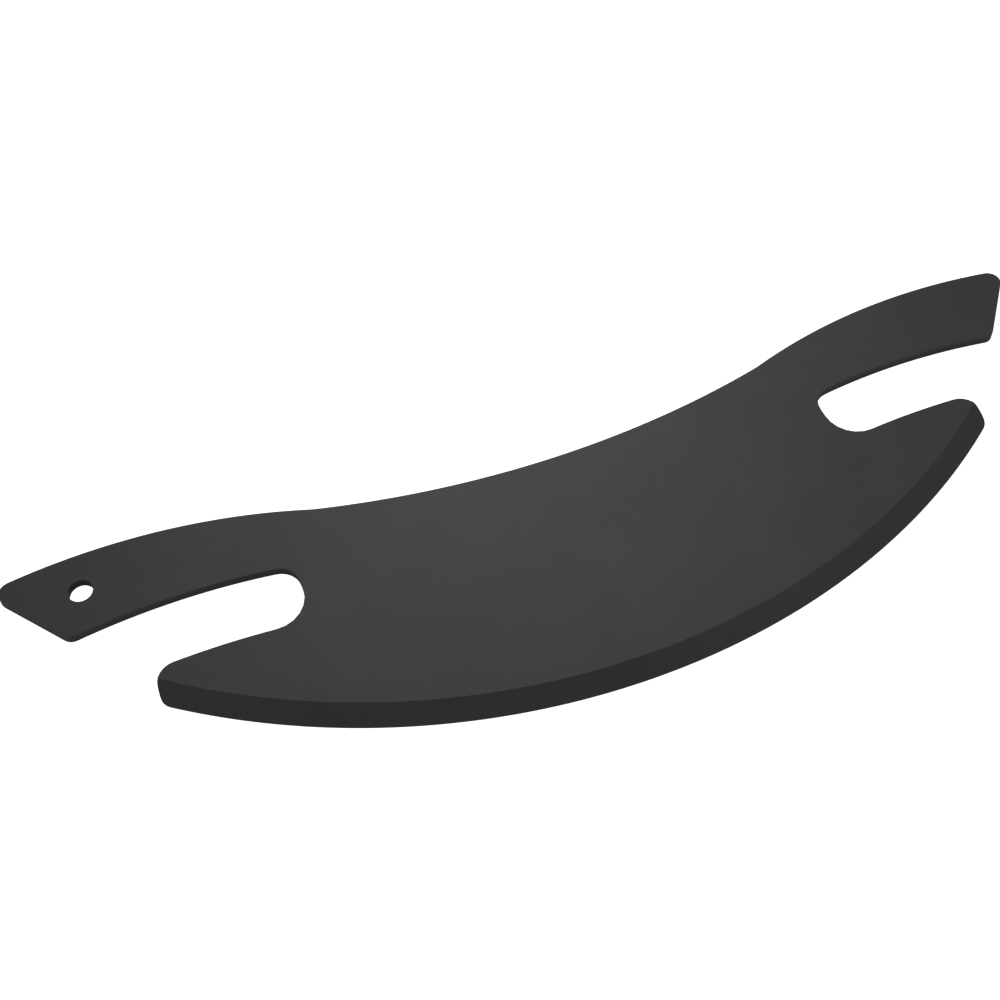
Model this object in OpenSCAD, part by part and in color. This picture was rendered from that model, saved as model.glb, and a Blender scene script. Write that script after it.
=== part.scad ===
/* [Sheet] */
// Thickness of the sheet
sheet_t = 4; // [3:0.1:6]

/* [Blade] */
// Height of the blade in the middle, from the cutting edge to the back
blade_h = 104.5; // [102:0.5:107]
// Radius of the cutting edge
edge_r = 302; // [290:1:320]
// Radius of the hollow back
back_r = 414; // [380:1:440]
// Distance from the middle to each blade tip
tip_x = 175; // [172:0.5:178]
// Upper corner radius of a blade tip
tip_top_r = 8; // [6:0.5:9]
// Lower corner radius of a blade tip
tip_low_r = 6; // [4:0.5:8]
// Width of the ground bevel, measured across the edge
bevel_w = 8; // [4:0.25:12]
// Height of the land left under the bevel at the cutting edge
edge_land = 0.4; // [0.2:0.1:1]

/* [Handles] */
// Distance from the middle to the outermost point of each handle
half_len = 225; // [222:0.5:230]
// Height of the handle's crest above the lowest point of the edge
crest_y = 130.5; // [128:0.5:134]
// Distance from the middle to the handle's crest
crest_x = 183; // [180:0.5:186]
// Radius of the handle's outer curve
handle_r = 258; // [245:1:270]
// Height of the handle's inner curve at its top
grip_y = 97.5; // [96:0.5:99]
// Distance from the middle to the top of the inner curve
grip_x = 159; // [156:0.5:162]
// Radius of the handle's inner curve
grip_r = 279; // [260:1:300]
// Lean of the cut at the handle's end, from upright
end_lean = 40; // [34:0.5:46]
// Outer corner radius of the handle's end
end_top_r = 5; // [3:0.5:7]
// Inner corner radius of the handle's end
end_low_r = 5; // [3:0.5:7]

/* [Finger slots] */
// Distance from the middle to the closed end of each slot
slot_x = 113.5; // [111:0.5:116]
// Radius of the slot's upper corner
slot_top_r = 9; // [6:0.25:10]
// Radius of the slot's lower corner
slot_low_corner_r = 13; // [10:0.25:14]
// Height of the slot's lower side at its highest
slot_low_y = 70; // [68:0.5:72]
// Distance from the middle to that highest point
slot_low_x = 154; // [150:0.5:158]
// Radius of the slot's lower side
slot_low_r = 320; // [280:5:400]

/* [Hanging hole] */
// Diameter of the hanging hole
hole_d = 9.8; // [6:0.2:12]
// Distance from the middle to the hole
hole_x = 194.5; // [190:0.5:198]
// Height of the hole above the lowest point of the edge
hole_y = 113.5; // [110:0.5:116]

/* [Hidden] */
// Greatest length of a straight step along a curve
chord = 4;
// Least number of steps in a rounded corner
corner_steps = 6;
plate_mid_y = crest_y / 2;
// How far a cutting shape runs past what it cuts
through = 1;
bevel_slope_extra = 0.2;
// Points closer than this are one point
same_point = 0.01;
edge_fn = 720;
hole_fn = 64;

back_c = [0, blade_h + back_r];
edge_c = [0, edge_r];
outer_c = [crest_x, crest_y - handle_r];
inner_c = [grip_x, grip_y - grip_r];

// A side of the outline is a circle [centre, radius] or a line [point, angle, 0].
// Helpers for points and directions
function unit(v) = v / norm(v);
function heading(a) = [cos(a), sin(a)];

// The circle or line moved to the outside by d
function moved(side, d) =
    len(side) == 2 ? [side[0], side[1] + d] : [side[0] + d * heading(side[1] + 90), side[1], 0];

// The point of a side that lies nearest to p
function foot(side, p) =
    len(side) == 2
        ? side[0] + side[1] * unit(p - side[0])
        : side[0] + ((p - side[0]) * heading(side[1])) * heading(side[1]);

function nearer(a, b, p) = norm(a - p) < norm(b - p) ? a : b;

// Where two circles meet, nearest to p
function circles_meet(a, b, p) =
    let (gap = norm(b[0] - a[0]))
    let (along = (a[1] * a[1] - b[1] * b[1] + gap * gap) / (2 * gap))
    let (across = sqrt(max(0, a[1] * a[1] - along * along)))
    let (d = unit(b[0] - a[0]))
    let (foot_point = a[0] + along * d)
    nearer(foot_point + across * [-d[1], d[0]], foot_point - across * [-d[1], d[0]], p);

// Where a circle and a line meet, nearest to p
function line_meets(circle_side, line_side, p) =
    let (mid = foot(line_side, circle_side[0]))
    let (away = norm(mid - circle_side[0]))
    let (half = sqrt(max(0, circle_side[1] * circle_side[1] - away * away)))
    nearer(mid + half * heading(line_side[1]), mid - half * heading(line_side[1]), p);

function meet(a, b, p) =
    len(a) == 3 ? line_meets(b, a, p)
    : len(b) == 3 ? line_meets(a, b, p)
    : circles_meet(a, b, p);

// Points along the circle about c from p to q, the short way round
function arc(c, p, q, steps) =
    let (a0 = atan2(p[1] - c[1], p[0] - c[0]))
    let (a1 = atan2(q[1] - c[1], q[0] - c[0]))
    let (turn = a1 - a0 > 180 ? a1 - a0 - 360 : a1 - a0 < -180 ? a1 - a0 + 360 : a1 - a0)
    [for (i = [0:steps]) c + norm(p - c) * heading(a0 + turn * i / steps)];

function steps_for(p, q) = ceil(norm(q - p) / chord);

// A rounded corner: its centre, its first point and its last point
function corner(a, side_a, b, side_b, r, p) =
    let (c = meet(moved(a, side_a * r), moved(b, side_b * r), p))
    [c, foot(a, c), foot(b, c)];
function corner_arc(k) = arc(k[0], k[1], k[2], corner_steps);

back = [back_c, back_r];
edge = [edge_c, edge_r];
outer = [outer_c, handle_r];
inner = [inner_c, grip_r];
slot_low = [[slot_low_x, slot_low_y - slot_low_r], slot_low_r];
slot_end = [[slot_x, slot_low_y], 270, 0];
tip_cut = [[tip_x, slot_low_y], 270, 0];

// The handle's end is a straight cut that leans in from its rounded outer corner
end_top_x = half_len - end_top_r;
end_top_rise = sqrt(pow(handle_r - end_top_r, 2) - pow(end_top_x - crest_x, 2));
end_top_c = [end_top_x, outer_c[1] + end_top_rise];
end_cut = [end_top_c + end_top_r * heading(-end_lean), 270 - end_lean, 0];

// Where the handle's outer curve starts from the back
notch = circles_meet(back, outer, [half_len / 2, blade_h]);
end_top = [end_top_c, foot(outer, end_top_c), foot(end_cut, end_top_c)];
end_low = corner(end_cut, -1, inner, 1, end_low_r, [half_len, grip_y]);
slot_top = corner(inner, -1, slot_end, 1, slot_top_r, [slot_x, grip_y]);
slot_base = corner(slot_end, 1, slot_low, 1, slot_low_corner_r, [slot_x, slot_low_y]);
tip_top = corner(slot_low, -1, tip_cut, -1, tip_top_r, [tip_x, slot_low_y]);
tip_low = corner(tip_cut, -1, edge, -1, tip_low_r, [tip_x, slot_low_y / 2]);

function side_arc(c, p, q) = arc(c, p, q, steps_for(p, q));

// Right half of the outline, from the middle of the back round to the middle of the edge
half_outline = concat(
    side_arc(back_c, [0, blade_h], notch),
    side_arc(outer_c, notch, end_top[1]),
    corner_arc(end_top),
    corner_arc(end_low),
    side_arc(inner_c, end_low[2], slot_top[1]),
    corner_arc(slot_top),
    corner_arc(slot_base),
    side_arc(slot_low[0], slot_base[2], tip_top[1]),
    corner_arc(tip_top),
    corner_arc(tip_low),
    side_arc(edge_c, tip_low[2], [0, 0])
);

// The same points once each, then their mirror image back to the start
last = len(half_outline) - 1;
right_side = [
    for (i = [0:last])
        if (i == last || norm(half_outline[i + 1] - half_outline[i]) > same_point)
            half_outline[i]
];
left_side = [for (i = [len(right_side) - 2:-1:1]) [-right_side[i][0], right_side[i][1]]];

// The sheet cut to the outline, before the bevel is ground
module blank() {
    linear_extrude(sheet_t)
        polygon(concat(right_side, left_side));
}

// What the grinding wheel takes off above the bevel
module bevel_waste() {
    translate([edge_c[0], edge_c[1], edge_land]) {
        difference() {
            cylinder(h = sheet_t, r = edge_r + through, $fn = edge_fn);
            translate([0, 0, -bevel_slope_extra])
                cylinder(
                    h = sheet_t + 2 * bevel_slope_extra,
                    r1 = edge_r + bevel_run(bevel_slope_extra),
                    r2 = edge_r - bevel_run(sheet_t + bevel_slope_extra),
                    $fn = edge_fn
                );
        }
    }
}

// How far the bevel runs in from the edge over a height h
function bevel_run(h) = bevel_w * h / (sheet_t - edge_land);

module hanging_hole() {
    translate([-hole_x, hole_y, -through])
        cylinder(h = sheet_t + 2 * through, d = hole_d, $fn = hole_fn);
}

module knife_body() {
    color("#3a3836")
        translate([0, -plate_mid_y, 0])
            difference() {
                blank();
                bevel_waste();
                hanging_hole();
            }
}

knife_body();
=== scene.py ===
"""Looks of a rocking pizza knife: one bevelled plate of black pressed paper and resin.

The plate's own solid is shown, with a procedural finish, on a white floor under two soft
lamps, from the photograph's viewing angle. Lengths are in metres unless a name says mm.
"""

import bpy
from math import cos, sin
from mathutils import Matrix, Vector


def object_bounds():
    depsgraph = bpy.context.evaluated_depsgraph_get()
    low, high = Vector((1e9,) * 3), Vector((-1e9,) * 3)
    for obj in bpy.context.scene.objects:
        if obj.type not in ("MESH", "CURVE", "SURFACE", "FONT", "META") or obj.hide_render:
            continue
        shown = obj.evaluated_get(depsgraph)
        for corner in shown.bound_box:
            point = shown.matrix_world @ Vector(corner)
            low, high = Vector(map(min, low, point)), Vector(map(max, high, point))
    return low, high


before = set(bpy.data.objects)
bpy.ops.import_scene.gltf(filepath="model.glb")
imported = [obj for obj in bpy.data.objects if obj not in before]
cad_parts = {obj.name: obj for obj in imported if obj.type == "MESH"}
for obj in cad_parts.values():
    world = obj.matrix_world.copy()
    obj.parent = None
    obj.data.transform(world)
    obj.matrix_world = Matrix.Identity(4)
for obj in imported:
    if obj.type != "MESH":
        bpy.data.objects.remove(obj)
cad_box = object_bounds()

MM = 0.001
WHITE = (1, 1, 1)
BLACK = (0, 0, 0)

# The sheet's finish. Noise scales are waves per metre.
SHEET_TONE = (0.021, 0.0205, 0.0195)
SHEET_ROUGHNESS = 0.5
MOTTLE_SCALE = 22
MOTTLE_DETAIL = 5
MOTTLE_ROUGHNESS = 0.62
MOTTLE_STOPS = [(0.36, (0.0175, 0.0175, 0.018)), (0.66, (0.026, 0.0245, 0.022))]
FLECK_SCALE = 2600
FLECK_DETAIL = 2
FLECK_STOPS = [(0.72, BLACK), (0.80, WHITE)]
FLECK_TONE = (0.07, 0.065, 0.06)
GRAIN_SCALE = 900
GRAIN_DETAIL = 4
GRAIN_STRENGTH = 0.12
GRAIN_DEPTH = 0.1 * MM

# The stage
FLOOR_SIZE = 20
FLOOR_DROP = 0.2 * MM
FLOOR_TONE = (0.9, 0.9, 0.9)
FLOOR_ROUGHNESS = 0.9
SKY_STRENGTH = 0.37

# Each lamp: its place, the point it faces, its diameter and its power in watts
LAMPS = {
    "key": ((0.2, 0.75, 0.9), (0.05, 0, 0), 0.7, 3.6),
    "fill": ((1.0, -0.9, 1.2), (0, 0, 0), 1.0, 1.5),
}

# The camera: it looks at TARGET from DISTANCE, turned about Z, raised and rolled, in radians
IMAGE_PIXELS = 1000
SENSOR_MM = 36
TARGET = Vector((-2.1 * MM, 126.7 * MM, 4 * MM))
DISTANCE = 654.3 * MM
TURN, RISE, ROLL = -0.312, 0.8243, -0.0577
FOCAL_PIXELS = 1453
CENTRE_PIXEL_X, CENTRE_PIXEL_Y = 475.1, 314.4
CLIP_START = 0.01


def principled(name, base, roughness):
    """A material with one principled shader, with its node tree and shader."""
    mat = bpy.data.materials.new(name)
    mat.use_nodes = True
    shader = mat.node_tree.nodes["Principled BSDF"]
    shader.inputs["Base Color"].default_value = (*base, 1)
    shader.inputs["Roughness"].default_value = roughness
    return mat, mat.node_tree, shader


def noise(tree, coords, scale, detail, roughness=0.5):
    """A noise texture's value at the given coordinates."""
    node = tree.nodes.new("ShaderNodeTexNoise")
    node.inputs["Scale"].default_value = scale
    node.inputs["Detail"].default_value = detail
    node.inputs["Roughness"].default_value = roughness
    tree.links.new(coords, node.inputs["Vector"])
    return node.outputs["Fac"]


def ramp(tree, value, stops):
    """A colour ramp through two places and colours."""
    node = tree.nodes.new("ShaderNodeValToRGB")
    for element, (place, colour) in zip(node.color_ramp.elements, stops):
        element.position = place
        element.color = (*colour, 1)
    tree.links.new(value, node.inputs["Fac"])
    return node.outputs["Color"]


def blend(tree, mask, under, over):
    """The colour under, with the fixed colour over it where the mask is white."""
    mix = tree.nodes.new("ShaderNodeMix")
    mix.data_type = "RGBA"
    tree.links.new(mask, mix.inputs["Factor"])
    tree.links.new(under, mix.inputs["A"])
    mix.inputs["B"].default_value = (*over, 1)
    return mix.outputs["Result"]


def composite_material():
    """Near-black sheet with soft warm mottling, fine pale flecks and a satin face."""
    mat, tree, shader = principled("composite", SHEET_TONE, SHEET_ROUGHNESS)
    coords = tree.nodes.new("ShaderNodeTexCoord").outputs["Object"]
    mottle = noise(tree, coords, MOTTLE_SCALE, MOTTLE_DETAIL, MOTTLE_ROUGHNESS)
    fleck = noise(tree, coords, FLECK_SCALE, FLECK_DETAIL)
    fleck_mask = ramp(tree, fleck, FLECK_STOPS)
    colour = blend(tree, fleck_mask, ramp(tree, mottle, MOTTLE_STOPS), FLECK_TONE)
    tree.links.new(colour, shader.inputs["Base Color"])
    bump = tree.nodes.new("ShaderNodeBump")
    bump.inputs["Strength"].default_value = GRAIN_STRENGTH
    bump.inputs["Distance"].default_value = GRAIN_DEPTH
    tree.links.new(noise(tree, coords, GRAIN_SCALE, GRAIN_DETAIL), bump.inputs["Height"])
    tree.links.new(bump.outputs["Normal"], shader.inputs["Normal"])
    return mat


def dress_body():
    """The plate keeps its solid, with the sheet's finish on every face."""
    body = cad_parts["knife_body"]
    body.data.materials.clear()
    body.data.materials.append(composite_material())


def floor():
    """A floor just under the plate, plain white to the camera."""
    bpy.ops.mesh.primitive_plane_add(size=FLOOR_SIZE)
    plane = bpy.context.object
    plane.name = "floor"
    plane.location.z = cad_box[0][2] - FLOOR_DROP
    mat, tree, shader = principled("floor", FLOOR_TONE, FLOOR_ROUGHNESS)
    shader.inputs["Emission Color"].default_value = (*WHITE, 1)
    path = tree.nodes.new("ShaderNodeLightPath")
    tree.links.new(path.outputs["Is Camera Ray"], shader.inputs["Emission Strength"])
    plane.data.materials.append(mat)


def lamps():
    """Round soft lamps, each facing its own point."""
    for name, (place, aim, size, power) in LAMPS.items():
        data = bpy.data.lights.new(name, "AREA")
        data.shape = "DISK"
        data.size = size
        data.energy = power
        lamp = bpy.data.objects.new(name, data)
        bpy.context.collection.objects.link(lamp)
        lamp.location = place
        facing = Vector(aim) - Vector(place)
        lamp.rotation_euler = facing.to_track_quat("-Z", "Y").to_euler()


def sky():
    """An even white surround."""
    world = bpy.data.worlds.new("studio")
    world.use_nodes = True
    back = world.node_tree.nodes["Background"]
    back.inputs["Color"].default_value = (*WHITE, 1)
    back.inputs["Strength"].default_value = SKY_STRENGTH
    bpy.context.scene.world = world


def camera():
    """The photograph's camera, with the shift that its framing needs."""
    back = Vector((sin(TURN) * cos(RISE), -cos(TURN) * cos(RISE), sin(RISE)))
    level_right = Vector((cos(TURN), sin(TURN), 0))
    level_up = back.cross(level_right)
    right = cos(ROLL) * level_right + sin(ROLL) * level_up
    up = cos(ROLL) * level_up - sin(ROLL) * level_right
    data = bpy.data.cameras.new("camera")
    data.sensor_width = SENSOR_MM
    data.lens = FOCAL_PIXELS * SENSOR_MM / IMAGE_PIXELS
    data.shift_x = (IMAGE_PIXELS / 2 - CENTRE_PIXEL_X) / IMAGE_PIXELS
    data.shift_y = (CENTRE_PIXEL_Y - IMAGE_PIXELS / 2) / IMAGE_PIXELS
    data.clip_start = CLIP_START
    cam = bpy.data.objects.new("camera", data)
    bpy.context.collection.objects.link(cam)
    axes = Matrix((right, up, back)).transposed().to_4x4()
    cam.matrix_world = Matrix.Translation(TARGET + DISTANCE * back) @ axes
    bpy.context.scene.camera = cam


dress_body()
floor()
lamps()
sky()
camera()
bpy.context.scene.view_settings.view_transform = "Standard"
